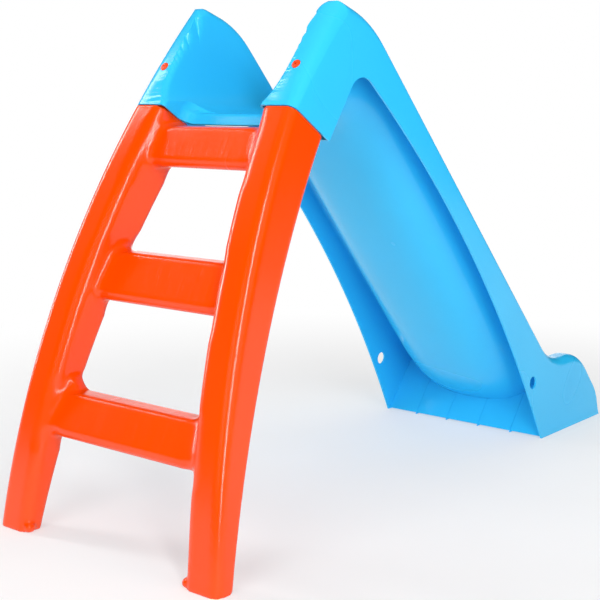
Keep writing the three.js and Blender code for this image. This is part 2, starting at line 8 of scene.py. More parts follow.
import bpy
import numpy as np
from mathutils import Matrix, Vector


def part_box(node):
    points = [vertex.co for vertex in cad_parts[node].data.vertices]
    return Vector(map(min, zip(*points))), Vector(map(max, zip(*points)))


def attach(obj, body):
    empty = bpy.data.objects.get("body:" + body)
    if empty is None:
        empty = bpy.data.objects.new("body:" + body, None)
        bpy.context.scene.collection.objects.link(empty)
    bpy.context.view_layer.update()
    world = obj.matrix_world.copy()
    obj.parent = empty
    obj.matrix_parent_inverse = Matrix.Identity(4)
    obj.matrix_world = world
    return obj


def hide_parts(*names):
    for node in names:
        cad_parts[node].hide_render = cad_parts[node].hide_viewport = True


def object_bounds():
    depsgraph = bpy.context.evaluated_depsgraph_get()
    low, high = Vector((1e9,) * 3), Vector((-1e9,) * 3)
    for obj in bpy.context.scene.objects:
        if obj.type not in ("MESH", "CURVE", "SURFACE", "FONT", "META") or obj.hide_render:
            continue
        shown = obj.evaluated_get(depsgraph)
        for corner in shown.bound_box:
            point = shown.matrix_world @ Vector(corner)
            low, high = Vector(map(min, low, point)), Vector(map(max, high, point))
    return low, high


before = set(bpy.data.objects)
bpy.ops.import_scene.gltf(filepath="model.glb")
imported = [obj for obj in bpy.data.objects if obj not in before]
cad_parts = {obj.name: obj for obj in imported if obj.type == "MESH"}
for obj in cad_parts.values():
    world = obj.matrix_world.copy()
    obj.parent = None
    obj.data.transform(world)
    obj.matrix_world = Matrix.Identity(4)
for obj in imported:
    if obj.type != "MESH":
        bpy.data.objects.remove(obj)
cad_bounds = [[float(v) for v in corner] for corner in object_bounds()]

MM = 0.001
LENGTH = (cad_bounds[1][0] - cad_bounds[0][0]) / MM
HEIGHT = (cad_bounds[1][2] - cad_bounds[0][2]) / MM
FOOT_SPREAD = 2 * cad_bounds[1][1] / MM
MID = LENGTH / 2

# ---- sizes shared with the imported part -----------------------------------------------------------

CHUTE_WIDTH_AT_FLOOR = 2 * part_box("chute")[1].y / MM
CHUTE_WIDTH_AT_TOP = 293
WALL = 3
SEAM_GAP = 0.6
HANDLE_HEIGHT = 138
FOOT_LEAN = math.radians(7.3)
TOP_LEAN = math.radians(33.5)
STILE_WIDTH = 59
STILE_DEPTH_FOOT = 32
STILE_DEPTH_SEAM = 77
STILE_DEPTH_BULGE = 0.45
STILE_BOW = 2.5
STILE_FRONT_INNER_RADIUS = 18
STILE_FRONT_OUTER_RADIUS = 15
STILE_BACK_INNER_RADIUS = 9
STILE_BACK_OUTER_RADIUS = 7
TONGUE_LENGTH = 30
TONGUE_TAPER = 4
TONGUE_SET_BACK = 6
STEP_FACES = (57, 67, 60)
STEP_SET_BACKS = (25, 25, 5)
STEP_GUSSETS = (10, 14, 24)
STEP_RADII = (12, 10, 9, 8)      # front foot, rear foot, rear tread, front tread
TOE_BEAD = 7
TOE_BEAD_LENGTH = 9
LOWEST_STEP_BOTTOM = 134
TOP_STEP_DROP = 74
STEP_FACE_LEAN = math.radians(27)
SEAT_DROP = 14
SEAT_SET_BACK = 52
SEAT_CORNER_RADIUS = 36
SEAT_EDGE_RADIUS = 9
LEG_LAP = 1.5
LEG_LAP_BEHIND = 12
HANDLE_POWER = 4.5
SLIDE_POWER = 2.6
HANDLE_RUN = 160
HANDLE_TOP_WIDTH = 38
HANDLE_EDGE_RADIUS = 30
HANDLE_INNER_RADIUS = 8
TROUGH_DRAFT = math.radians(7)
APEX_RADIUS = 17
ROUNDING_LOSS = 4
SHOULDER_RUN = 122
SHOULDER_DROP = 76
SHOULDER_SLOPE = 0.35
SHOULDER_RADIUS = 280
RIM_WIDTH = 42
RIM_OUTER_RADIUS = 17
RIM_INNER_RADIUS = 13
SCREW_REACH = 65
SCREW_ACROSS = 0.45
FLOOR_STEEPER = 1.05
EXIT_FLOOR = 14
EXIT_RUN = 51
RUN_OUT_RADIUS = 300
PLATFORM_RADIUS = 120
EXIT_WALL_HEIGHT = 131.5
EXIT_WALL_LENGTH = 186
EXIT_WALL_FOOT_RADIUS = 110
NOSE_LENGTH = 77
NOSE_RADIUS = 85
NOSE_SHARE = 0.42
NOSE_SET_BACK = 10
NOSE_FOOT_RADIUS = 60
SKIRT_FOOT_LENGTH = 224
SKIRT_REAR_BOW = 38
NOTCH_REACH = 112
NOTCH_RISE = 67
LEG_REAR_ANGLE = math.radians(54.2)
ARCH_RADIUS = 42
SIDE_HOLE_RADIUS = 11
SIDE_HOLE_HEIGHT = 106
SIDE_HOLE_BEFORE_HEEL = 31
RIB_THICKNESS = 2.5
RIB_SPACING = 67.5
RIB_OFFSETS = (-1.5, -0.5, 0.5, 1.5)
PLATE_ANGLE = math.radians(51)
PLATE_LIFT = 2.5
SINK_DEPTH = 1.2
SINK_HALF_WIDTH = 0.9
SCREW_HEAD_RADIUS = 6.5
SCREW_HEAD_HEIGHT = 3
SCREW_GAP = 0.5
SCREW_SHANK_RADIUS = 3.5
SCREW_LENGTH = 24
SCREW_BOSS_RADIUS = 10
SCREW_BOSS_DEPTH = 5
SCREW_SLOT_REACH = 4.2
SCREW_SLOT_HALF_WIDTH = 0.85
SCREW_SLOT_BOTTOM = 1.9

SEAM_HEIGHT = HEIGHT - HANDLE_HEIGHT
SEAT_HEIGHT = SEAM_HEIGHT - SEAT_DROP
LEG_WIDTH = STILE_WIDTH + LEG_LAP
LEG_DEPTH = STILE_DEPTH_SEAM + LEG_LAP_BEHIND
SKIRT_HEEL = LENGTH - SKIRT_FOOT_LENGTH
SPARE = 20
FOLD_REACH = 16
VOXEL = 2.4


# ---- small helpers -------------------------------------------------------------------------------

def lerp(a, b, t):
    return a + (b - a) * t


def clamp(v, low=0.0, high=1.0):
    return max(low, min(high, v))


def smoothstep(v, low, high):
    t = clamp((v - low) / (high - low))
    return t * t * (3 - 2 * t)


def skirt_half(z):
    return lerp(CHUTE_WIDTH_AT_FLOOR, CHUTE_WIDTH_AT_TOP, z / HEIGHT) / 2


def rounded(corners, closed=True, step=5):
    """Points along an outline whose corners (a, b, radius) are rounded."""
    points = []
    count = len(corners)
    for i, corner in enumerate(corners):
        here = np.array(corner[:2], float)
        radius = corner[2] if len(corner) > 2 else 0
        if not radius or (not closed and i in (0, count - 1)):
            points.append(here)
            continue
        before = np.array(corners[i - 1][:2], float) - here
        after = np.array(corners[(i + 1) % count][:2], float) - here
        reach = 0.49 * min(np.linalg.norm(before), np.linalg.norm(after))
        before /= np.linalg.norm(before)
        after /= np.linalg.norm(after)
        half = math.acos(clamp(float(before @ after), -1, 1)) / 2
        tangent = min(radius / math.tan(half), reach)
        radius = tangent * math.tan(half)
        middle = before + after
        centre = here + middle / np.linalg.norm(middle) * radius / math.sin(half)
        start = here + before * tangent - centre
        end = here + after * tangent - centre
        sweep = math.atan2(start[0] * end[1] - start[1] * end[0], float(start @ end))
        steps = max(2, round(abs(math.degrees(sweep)) / step))
        for k in range(steps + 1):
            c, s = math.cos(sweep * k / steps), math.sin(sweep * k / steps)
            points.append(centre + (start[0] * c - start[1] * s, start[0] * s + start[1] * c))
    return np.array(points)


def offset_line(line, distance):
    """An open outline moved to its left."""
    ahead = np.diff(line, axis=0)
    ahead /= np.linalg.norm(ahead, axis=1)[:, None]
    before = np.vstack([ahead[:1], ahead])
    after = np.vstack([ahead, ahead[-1:]])
    normal = np.column_stack([-(before[:, 1] + after[:, 1]), before[:, 0] + after[:, 0]])
    size = np.linalg.norm(normal, axis=1)[:, None]
    return line + normal / size * distance / np.maximum(0.5, size / 2)


def crossing(a, slope_a, b, slope_b):
    """Where two lines cross, each given by a point and how much z it loses with x."""
    x = (b[1] + slope_b * b[0] - a[1] - slope_a * a[0]) / (slope_b - slope_a)
    return x, a[1] - slope_a * (x - a[0])


def add_object(name, points, faces):
    mesh = bpy.data.meshes.new(name)
    metres = (np.array(points, float) - (MID, 0, 0)) * MM
    mesh.from_pydata(metres.tolist(), [], faces)
    mesh.validate()
    made = bpy.data.objects.new(name, mesh)
    bpy.context.scene.collection.objects.link(made)
    return made


def loft(rings, name="loft"):
    """A closed solid skinned over rings with the same number of points."""
    rings = [np.array(ring, float) for ring in rings]
    count = len(rings[0])
    points = np.vstack(rings + [rings[0].mean(axis=0)[None], rings[-1].mean(axis=0)[None]])
    faces = []
    for r in range(len(rings) - 1):
        for i in range(count):
            a, b = r * count + i, r * count + (i + 1) % count
            faces.append((a, b, b + count, a + count))
    last = (len(rings) - 1) * count
    for i in range(count):
        j = (i + 1) % count
        faces.append((j, i, len(points) - 2))
        faces.append((last + i, last + j, len(points) - 1))
    return outward(add_object(name, points, faces))


def side_slab(outline, y_from, y_to, name="slab"):
    """A slab whose outline is drawn in x and z, between two values of y."""
    count = len(outline)
    near = [(x, y_from, z) for x, z in outline]
    far = [(x, y_to, z) for x, z in outline]
    faces = [(i, (i + 1) % count, (i + 1) % count + count, i + count) for i in range(count)]
    faces += [tuple(range(count))[::-1], tuple(range(count, 2 * count))]
    return outward(add_object(name, near + far, faces))


def outward(made):
    """Turns a closed mesh's faces to point out."""
    mesh = made.data
    mesh.calc_loop_triangles()
    co = np.empty(len(mesh.vertices) * 3)
    mesh.vertices.foreach_get("co", co)
    tri = np.empty(len(mesh.loop_triangles) * 3, int)
    mesh.loop_triangles.foreach_get("vertices", tri)
    a, b, c = np.moveaxis(co.reshape(-1, 3)[tri.reshape(-1, 3)], 1, 0)
    if np.einsum("ij,ij->i", a, np.cross(b, c)).sum() < 0:
        mesh.flip_normals()
    return made


def combine(base, operation, *others):
    """Joins, cuts or intersects closed meshes, and uses the others up."""
    for other in others:
        modifier = base.modifiers.new("combine", "BOOLEAN")
        modifier.operation = operation
        modifier.solver = "MANIFOLD"
        modifier.object = other
        bake_modifiers(base)
        bpy.data.objects.remove(other)
    return base


def bake_modifiers(made):
    """Applies the modifiers to the mesh."""
    graph = bpy.context.evaluated_depsgraph_get()
    mesh = bpy.data.meshes.new_from_object(made.evaluated_get(graph))
    made.modifiers.clear()
    made.data = mesh
    return made


def union(first, *others):
    return combine(first, "UNION", *others)


def cut(first, *others):
    return combine(first, "DIFFERENCE", *others)


def keep_inside(first, *others):
    return combine(first, "INTERSECT", *others)


# ---- ladder line and seam ------------------------------------------------------------------------

FRONT_RADIUS = SEAM_HEIGHT / (math.sin(TOP_LEAN) - math.sin(FOOT_LEAN))


def ladder_front(lean):
    return (FRONT_RADIUS * (math.cos(FOOT_LEAN) - math.cos(lean)),
            FRONT_RADIUS * (math.sin(lean) - math.sin(FOOT_LEAN)))


def lean_at(z):
    return math.asin(z / FRONT_RADIUS + math.sin(FOOT_LEAN))


SEAM_FRONT = ladder_front(TOP_LEAN)
ALONG = np.array((math.sin(TOP_LEAN), 0, math.cos(TOP_LEAN)))
INWARD = np.array((math.cos(TOP_LEAN), 0, -math.sin(TOP_LEAN)))


def seam_point(depth, y, rise):
    """A point in the seam's own axes: depth behind the front, y, and rise up the handle."""
    return np.array((SEAM_FRONT[0], y, SEAM_FRONT[1])) + INWARD * depth + ALONG * rise


# ---- side outline of the chute -------------------------------------------------------------------

APEX_LEAN = lean_at(HEIGHT + ROUNDING_LOSS)
APEX = ladder_front(APEX_LEAN)
SLOPE_TOP = (APEX[0] + SHOULDER_RUN, HEIGHT - SHOULDER_DROP)
SLOPE_FOOT = (LENGTH - EXIT_WALL_LENGTH, EXIT_WALL_HEIGHT)
SLIDE_SLOPE = (SLOPE_TOP[1] - SLOPE_FOOT[1]) / (SLOPE_FOOT[0] - SLOPE_TOP[0])


def make_rim_line():
    steps = 90
    top = lean_at(HEIGHT - APEX_RADIUS)
    front = [ladder_front(lerp(TOP_LEAN, top, i / (steps - 1))) for i in range(steps)]
    shoulder = crossing(APEX, SHOULDER_SLOPE, SLOPE_TOP, SLIDE_SLOPE)
    return rounded(front + [
        (*APEX, APEX_RADIUS),
        (*shoulder, SHOULDER_RADIUS),
        (*SLOPE_FOOT, EXIT_WALL_FOOT_RADIUS),
        (LENGTH - NOSE_LENGTH, EXIT_WALL_HEIGHT, NOSE_RADIUS),
        (LENGTH - NOSE_SET_BACK, NOSE_SHARE * EXIT_WALL_HEIGHT, NOSE_FOOT_RADIUS),
        (LENGTH, 0),
    ], closed=False, step=2.5)


def make_under_line():
    """Rear edge of the skirt from its heel, then the arch, then the leg's rear edge."""
    leg_rear = seam_point(LEG_DEPTH, 0, 0)[[0, 2]]
    heel = np.array((SKIRT_HEEL, 0.0))
    top = leg_rear + (NOTCH_REACH, NOTCH_RISE)
    span = top - heel
    outward_way = np.array((span[1], -span[0])) / np.linalg.norm(span)
    t = np.arange(40)[:, None] / 40
    edge = heel + span * t + outward_way * 4 * SKIRT_REAR_BOW * t * (1 - t)
    end_slope = (top[1] - edge[-1][1]) / (edge[-1][0] - top[0])
    arch = crossing(leg_rear, -math.tan(LEG_REAR_ANGLE), top, end_slope)
    bend = rounded([edge[-1], (*arch, ARCH_RADIUS), leg_rear], closed=False, step=5)
    return np.vstack([edge, bend[1:]])


RIM_LINE = make_rim_line()
UNDER_LINE = make_under_line()
SKIRT_OUTLINE = np.vstack([RIM_LINE, UNDER_LINE])
TROUGH_OUTLINE = np.vstack([RIM_LINE, [UNDER_LINE[-1] * (1, 0) + (LEG_WIDTH, 0)], UNDER_LINE[-1:]])


def hollow_outline():
    """Outline of the space under the moulding, open along the underside."""
    rim = offset_line(RIM_LINE, -WALL)
    under = offset_line(UNDER_LINE, SPARE)
    down = ALONG[[0, 2]] * -2 * SPARE
    return np.vstack([rim[0] + down, rim, rim[-1] + (0, -2 * SPARE),
                      (SKIRT_HEEL - SPARE, -2 * SPARE), under, under[-1] + down])


def rim_at(x):
    past_apex = RIM_LINE[RIM_LINE[:, 0] >= APEX[0]]
    return HEIGHT if x < APEX[0] else float(np.interp(x, past_apex[:, 0], past_apex[:, 1]))


# ---- trough --------------------------------------------------------------------------------------

FLOOR_SLOPE = SLIDE_SLOPE * FLOOR_STEEPER


def make_floor_line():
    angle = math.atan(FLOOR_SLOPE)
    end = LENGTH - EXIT_RUN
    start = (end - RUN_OUT_RADIUS * math.sin(angle), EXIT_FLOOR + RUN_OUT_RADIUS * (1 - math.cos(angle)))
    seat_end = start[0] - (SEAT_HEIGHT - start[1]) / FLOOR_SLOPE
    return rounded([
        (-FOOT_SPREAD, SEAT_HEIGHT),
        (seat_end, SEAT_HEIGHT, PLATFORM_RADIUS),
        (end - RUN_OUT_RADIUS * math.tan(angle / 2), EXIT_FLOOR, RUN_OUT_RADIUS),
        (LENGTH + FOOT_SPREAD, EXIT_FLOOR),
    ], closed=False, step=1.5)


FLOOR_LINE = make_floor_line()


def floor_at(x):
    return float(np.interp(x, FLOOR_LINE[:, 0], FLOOR_LINE[:, 1]))


def front_flare(x, z, grow):
    """How far the trough opens out beside the handles' front faces, to round their inner edge."""
    if z < SEAM_HEIGHT - SPARE:
        return 0
    lean = lean_at(min(z, HEIGHT))
    depth = (x - ladder_front(lean)[0]) * math.cos(lean)
    inside = clamp(depth, grow, HANDLE_INNER_RADIUS) - HANDLE_INNER_RADIUS
    radius = HANDLE_INNER_RADIUS - grow
    return radius - math.sqrt(max(0, radius ** 2 - inside ** 2))


def trough_ring(x, grow):
    """One cross-section of the trough's hollow: rounded rims, then one superellipse."""
    share = smoothstep(x, APEX[0], APEX[0] + HANDLE_RUN)
    rim = rim_at(x)
    slope = (floor_at(x - 2) - floor_at(x + 2)) / 4
    floor = floor_at(x) - grow * math.hypot(1, slope)
    half = skirt_half(rim) - lerp(HANDLE_TOP_WIDTH, RIM_WIDTH, share) + grow
    power = lerp(HANDLE_POWER, SLIDE_POWER, share)
    depth = rim - floor
    edge = clamp(0.3 * (rim - floor_at(x)), 0.4, RIM_INNER_RADIUS)
    depth = max(depth, 1.2 * edge)
    radius = max(0.2, edge - grow)
    side = [(half + radius * (1 - math.sin(TROUGH_DRAFT)), rim + 2 * SPARE)]
    for i in range(8):
        angle = lerp(TROUGH_DRAFT, math.pi / 2, i / 8)
        side.append((half + radius * (1 - math.sin(angle)), rim - edge + radius * math.cos(angle)))
    first = (edge / depth) ** (power / 2)
    for i in range(37):
        angle = lerp(math.asin(clamp(first)), math.pi / 2, i / 36)
        across = math.cos(angle) ** (2 / power) if i < 36 else 0
        side.append((half * across, rim - depth * math.sin(angle) ** (2 / power)))
    ring = [(x, y + (front_flare(x, z, grow) if y > 1 else 0), z) for y, z in side]
    return ring + [(px, -py, pz) for px, py, pz in ring[-2::-1]]


def stations(shift=0.0):
    """Values of x where the slide's shape changes, close together at the handles."""
    first = SEAM_FRONT[0] - LEG_DEPTH
    front = np.arange(SEAM_FRONT[0] - 3, APEX[0] + 12, 1.3)
    slope = np.arange(front[-1] + 7, LENGTH - 90, 8.3)
    exit_end = np.arange(slope[-1] + 5, LENGTH + 8, 4.1)
    return np.concatenate([[first], front, slope, exit_end, [LENGTH + 2 * SPARE]]) + shift


def trough_void(grow):
    return loft([trough_ring(x, grow) for x in stations()])


def lip_void(grow):
    """The open corner in front of the platform's lip, with the lip's top edge rounded."""
    half = skirt_half(SEAM_HEIGHT) - LEG_WIDTH + grow
    turn = math.pi / 2 - TOP_LEAN
    edge_rise = (SEAT_HEIGHT - seam_point(SEAT_SET_BACK, 0, 0)[2]) / math.cos(TOP_LEAN)
    start = edge_rise - SEAT_EDGE_RADIUS * math.tan(turn / 2)
    edge = SEAT_EDGE_RADIUS - grow
    angles = [turn * 0.88 * i / 7 for i in range(1, 8)]
    profile = [(-LEG_WIDTH, 0.0), (start, 0.0)]
    profile += [(start + edge * math.sin(a), edge * (1 - math.cos(a))) for a in angles]
    profile.append((profile[-1][0] + 6, profile[-1][1] + 6 * math.tan(angles[-1])))
    profile.append((LEG_WIDTH, profile[-1][1]))
    rings = []
    flare = HANDLE_INNER_RADIUS - grow
    for rise, extra in profile:
        depth = SEAT_SET_BACK + grow + extra
        side = [(-LEG_WIDTH, half + flare)]
        for i in range(9):
            angle = math.radians(lerp(4, 90, i / 8))
            side.append((grow + flare * (1 - math.cos(angle)), half + flare * (1 - math.sin(angle))))
        behind = grow + flare + 0.5
        section = rounded([(behind, half), (depth, half, SEAT_CORNER_RADIUS),
                           (depth, -half, SEAT_CORNER_RADIUS), (behind, -half)], False, 5)
        points = side + [tuple(p) for p in section] + [(d, -y) for d, y in side[::-1]]
        rings.append([seam_point(d, y, rise) for d, y in points])
    return loft(rings)


# ---- chute ---------------------------------------------------------------------------------------

def handle_column(shrink):
    """Everything behind the bowed front of the handles, with its outer edges rounded."""
    straight = 60
    margin = math.radians(9)
    rings = []
    for i in range(121):
        lean = lerp(TOP_LEAN - margin, APEX_LEAN + margin, i / 120)
        x, z = ladder_front(lean)
        rise = clamp((z - SEAM_HEIGHT) / HANDLE_HEIGHT)
        half = skirt_half(z) - shrink
        edge = lerp(STILE_FRONT_OUTER_RADIUS, HANDLE_EDGE_RADIUS, rise) - shrink
        section = rounded([
            (shrink, -half, edge), (straight, -half - 1), (FOOT_SPREAD, -half - straight),
            (FOOT_SPREAD, half + straight), (straight, half + 1), (shrink, half, edge),
        ], True, 6)
        rings.append([(x + d * math.cos(lean), y, z - d * math.sin(lean)) for d, y in section])
    return loft(rings)


def cube(centre, size):
    """A square cutting block."""
    (x, y, z), (a, b, c) = centre, [s / 2 for s in size]
    return side_slab([(x - a, z - c), (x + a, z - c), (x + a, z + c), (x - a, z + c)], y - b, y + b)


def skirt_block(outline, shrink):
    """The chute's outer block inside a side outline, with rounded top edges."""
    proud = 0.5
    below = -2 * SPARE
    rings = []
    for x in stations(1.7):
        rim = rim_at(x)
        radius = min(RIM_OUTER_RADIUS, 0.4 * rim + 4) - shrink
        top = rim + proud - shrink
        half = skirt_half(top) - shrink
        side = [(x, skirt_half(below) - shrink, below)]
        for i in range(13):
            angle = math.pi / 2 * i / 12
            side.append((x, half - radius + radius * math.cos(angle),
                         top - radius + radius * math.sin(angle)))
        rings.append(side + [(px, -py, pz) for px, py, pz in side[::-1]])
    body = keep_inside(side_slab(outline, -FOOT_SPREAD, FOOT_SPREAD), loft(rings))
    behind = body.copy()
    behind.data = body.data.copy()
    bpy.context.scene.collection.objects.link(behind)
    space = 3000
    keep_inside(behind, cube((APEX[0] + SPARE + space / 2, 0, 0), (space, space, space)))
    return union(keep_inside(body, handle_column(shrink)), behind)


def handle_bar(depths, ys, rises, side):
    corners = [(0, 0), (1, 0), (1, 1), (0, 1)]
    return loft([[seam_point(depths[d], side * ys[y], rise) for d, y in corners] for rise in rises])


def leg_socket(side):
    outer = skirt_half(SEAM_HEIGHT) + SPARE
    inner = skirt_half(SEAM_HEIGHT) - LEG_WIDTH
    top = TONGUE_LENGTH + 2 * SPARE
    walls = handle_bar((-SPARE, LEG_DEPTH), (inner, outer), (-SPARE, top), side)
    hollow = handle_bar((-2 * SPARE, LEG_DEPTH - WALL), (inner + WALL, outer + SPARE),
                        (-2 * SPARE, top + SPARE), side)
    return cut(walls, hollow)


def screw_cylinder(radius, start, end, side, sides=48):
    y = side * (skirt_half(SEAM_HEIGHT) - SCREW_ACROSS * STILE_WIDTH)
    rings = []
    for depth in (start, end):
        rings.append([seam_point(depth, y + radius * math.cos(a), SCREW_REACH + radius * math.sin(a))
                      for a in np.linspace(0, 2 * math.pi, sides, endpoint=False)])
    return loft(rings)


def run_out_bracing():
    """The leaning plate behind the run-out, and the ribs in front of it."""
    heel = SKIRT_HEEL + WALL
    thick = WALL / math.sin(PLATE_ANGLE)
    lean = EXIT_WALL_HEIGHT / math.tan(PLATE_ANGLE)
    plate = side_slab([(heel, PLATE_LIFT), (heel + thick, PLATE_LIFT),
                       (heel + thick + lean, PLATE_LIFT + EXIT_WALL_HEIGHT),
                       (heel + lean, PLATE_LIFT + EXIT_WALL_HEIGHT)], -FOOT_SPREAD, FOOT_SPREAD)
    rib = [(SKIRT_HEEL + 1, 0), (LENGTH - WALL, 0), (LENGTH - WALL, EXIT_WALL_HEIGHT),
           (heel + 1 + lean, PLATE_LIFT + EXIT_WALL_HEIGHT), (heel + 1, PLATE_LIFT)]
    sink = [(heel - 1, PLATE_LIFT), (heel + SINK_DEPTH, PLATE_LIFT),
            (heel + SINK_DEPTH + lean, PLATE_LIFT + EXIT_WALL_HEIGHT),
            (heel - 1 + lean, PLATE_LIFT + EXIT_WALL_HEIGHT)]

    def on_each_rib(outline, half):
        return [side_slab(outline, n * RIB_SPACING - half, n * RIB_SPACING + half) for n in RIB_OFFSETS]

    braces = union(plate, *on_each_rib(rib, RIB_THICKNESS / 2))
    return cut(braces, *on_each_rib(sink, SINK_HALF_WIDTH))


def side_holes():
    x = SKIRT_HEEL - SIDE_HOLE_BEFORE_HEEL
    angles = np.linspace(0, 2 * math.pi, 64, endpoint=False)
    circle = [(x + SIDE_HOLE_RADIUS * math.cos(a), SIDE_HOLE_HEIGHT + SIDE_HOLE_RADIUS * math.sin(a))
              for a in angles]
    near = skirt_half(SIDE_HOLE_HEIGHT) - 3 * WALL
    return [side_slab(circle, near, FOOT_SPREAD), side_slab(circle, -FOOT_SPREAD, -near)]


def build_chute():
    sides = (-1, 1)
    inside_skin = WALL / 2
    skirts = cut(skirt_block(SKIRT_OUTLINE, 0), skirt_block(hollow_outline(), WALL))
    trough = keep_inside(union(trough_void(WALL), lip_void(WALL)), skirt_block(TROUGH_OUTLINE, inside_skin))
    bosses = [screw_cylinder(SCREW_BOSS_RADIUS, 0, SCREW_BOSS_DEPTH, side) for side in sides]
    braces = union(run_out_bracing(), *[leg_socket(side) for side in sides], *bosses)
    keep_inside(braces, skirt_block(SKIRT_OUTLINE, inside_skin))
    body = union(skirts, trough, braces)
    heads = [screw_cylinder(SCREW_HEAD_RADIUS + SCREW_GAP, -SPARE, SCREW_HEAD_HEIGHT + SCREW_GAP, side)
             for side in sides]
    shanks = [screw_cylinder(SCREW_SHANK_RADIUS + SCREW_GAP, -SPARE, SCREW_LENGTH, side) for side in sides]
    cut(body, trough_void(0), lip_void(0), *side_holes(), *heads, *shanks)
    body.name = "chute_moulding"
    return body


# ---- ladder --------------------------------------------------------------------------------------

def stile_depth(share):
    return lerp(STILE_DEPTH_FOOT, STILE_DEPTH_SEAM, share * (1 + STILE_DEPTH_BULGE * (1 - share)))


def stile_outer(z):
    share = np.clip(z / SEAM_HEIGHT, 0, 1)
    return lerp(FOOT_SPREAD / 2, skirt_half(SEAM_HEIGHT), share) + 4 * STILE_BOW * share * (1 - share)


def stile_section(middle, width, near, far):
    half = width / 2
    return rounded([
        (near, middle - half, STILE_FRONT_INNER_RADIUS), (far, middle - half, STILE_BACK_INNER_RADIUS),
        (far, middle + half, STILE_BACK_OUTER_RADIUS), (near, middle + half, STILE_FRONT_OUTER_RADIUS),
    ], True, 9)


def stile(side):
    """One stile, from a little under its sole to the tongue inside the handle."""
    rings = []
    steps = 60
    for i in range(-4, steps + 1):
        share = i / steps
        lean = lerp(FOOT_LEAN, TOP_LEAN, share)
        x, z = ladder_front(lean)
        section = stile_section(stile_outer(z) - STILE_WIDTH / 2, STILE_WIDTH, 0, stile_depth(max(0, share)))
        rings.append([(x + d * math.cos(lean), side * y, z - d * math.sin(lean)) for d, y in section])
    rings[-1] = [np.array(p) - ALONG * SEAM_GAP for p in rings[-1]]
    outer = skirt_half(SEAM_HEIGHT) - WALL
    inner = outer - LEG_WIDTH + 3 * WALL
    for rise in (-SEAM_GAP, TONGUE_LENGTH):
        taper = TONGUE_TAPER * max(0, rise) / TONGUE_LENGTH
        section = stile_section((outer + inner) / 2, outer - inner - 2 - taper, TONGUE_SET_BACK + taper,
                                STILE_DEPTH_SEAM - 5 - 4 * taper)
        rings.append([seam_point(d, side * y, rise) for d, y in section])
    return loft(rings)


def step_places():
    """Front, rear, bottom and tread of each step, from the top."""
    top_bottom = SEAT_HEIGHT - TOP_STEP_DROP
    for index, face in enumerate(STEP_FACES):
        bottom = lerp(top_bottom, LOWEST_STEP_BOTTOM, index / (len(STEP_FACES) - 1))
        lean = lean_at(bottom)
        front = ladder_front(lean)[0]
        depth = stile_depth((lean - FOOT_LEAN) / (TOP_LEAN - FOOT_LEAN)) / math.cos(lean)
        yield index, front + STEP_SET_BACKS[index], front + depth, bottom, bottom + face


def step(front, rear, bottom, tread):
    run = (tread - bottom) * math.tan(STEP_FACE_LEAN)
    half = stile_outer(tread) - STILE_WIDTH / 2
    places = [(front, bottom), (rear, bottom), (rear + run, tread), (front + run, tread)]
    outline = rounded([(*place, radius) for place, radius in zip(places, STEP_RADII)])
    return side_slab(outline, -half, half)


def gusset(index, front, rear, tread, side):
    """A small web in the corner over a step's end, which turns into a soft fold."""
    size = STEP_GUSSETS[index]
    run = STEP_FACES[index] * math.tan(STEP_FACE_LEAN)
    inner = stile_outer(tread) - STILE_WIDTH
    rings = []
    for x in (front + run + 8, rear + run - 9):
        rings.append([(x, side * (inner - size), tread - 3), (x, side * (inner + 6), tread - 3),
                      (x + size * 0.3, side * (inner + 6), tread + size),
                      (x, side * (inner - 1), tread + size)])
    return loft(rings)


def toe(side):
    """The bead on the inner side of a foot."""
    rings = []
    for i in range(13):
        angle = math.pi * (i / 12 - 0.5)
        size = max(0.3, TOE_BEAD * math.cos(angle))
        x = TOE_BEAD_LENGTH + 2 + TOE_BEAD_LENGTH * math.sin(angle)
        rings.append([(x, side * (FOOT_SPREAD / 2 - STILE_WIDTH + 1 + size * math.cos(a)),
                       6 + size * math.sin(a)) for a in np.linspace(0, 2 * math.pi, 16, endpoint=False)])
    return loft(rings)


def build_ladder():
    sides = (-1, 1)
    body = stile(1)
    union(body, stile(-1), *[toe(side) for side in sides])
    for index, front, rear, bottom, tread in step_places():
        union(body, step(front, rear, bottom, tread), *[gusset(index, front, rear, tread, s) for s in sides])
    keep_inside(body, cube((0, 0, 1500), (3000, 3000, 3000)))
    remesh = body.modifiers.new("skin", "REMESH")
    remesh.mode = "VOXEL"
    remesh.voxel_size = VOXEL * MM
    bake_modifiers(body)
    soften(body, junction_weights(body), passes=36)
    body.name = "ladder_moulding"
    return body


def coordinates(made):
    co = np.empty(len(made.data.vertices) * 3)
    made.data.vertices.foreach_get("co", co)
    return co.reshape(-1, 3)


def junction_weights(made):
    """Where a step meets a stile, as a weight on every point."""
    co = coordinates(made) / MM + (MID, 0, 0)
    from_stile = np.abs(stile_outer(co[:, 2]) - STILE_WIDTH - np.abs(co[:, 1]))
    near = np.zeros(len(co))
    for _, _, _, bottom, tread in step_places():
        gap = np.maximum(0, np.maximum(bottom - co[:, 2], co[:, 2] - tread))
        near = np.maximum(near, np.clip(1.6 - np.hypot(gap, from_stile) / FOLD_REACH, 0, 1))
    return near


def soften(made, weights, passes):
    """Smooths away the voxels without shrinking, then blends the weighted points."""
    mesh = made.data
    co = coordinates(made)
    edges = np.empty(len(mesh.edges) * 2, int)
    mesh.edges.foreach_get("vertices", edges)
    a, b = edges.reshape(-1, 2).T
    ends = np.r_[a, b]
    count = np.bincount(ends, minlength=len(co))[:, None]
    sole = co[:, 2] < 1.5 * MM
    for turn in range(passes):
        for share in (0.55, -0.57) if turn < passes // 3 else (1.0,):
            total = np.column_stack([np.bincount(ends, np.r_[co[b, k], co[a, k]], len(co)) for k in range(3)])
            move = (total / count - co) * (share if share < 1 else weights[:, None])
            move[sole, 2] = 0
            co = co + move
    mesh.vertices.foreach_set("co", co.ravel())
    mesh.update()


# ---- fixing screws -------------------------------------------------------------------------------

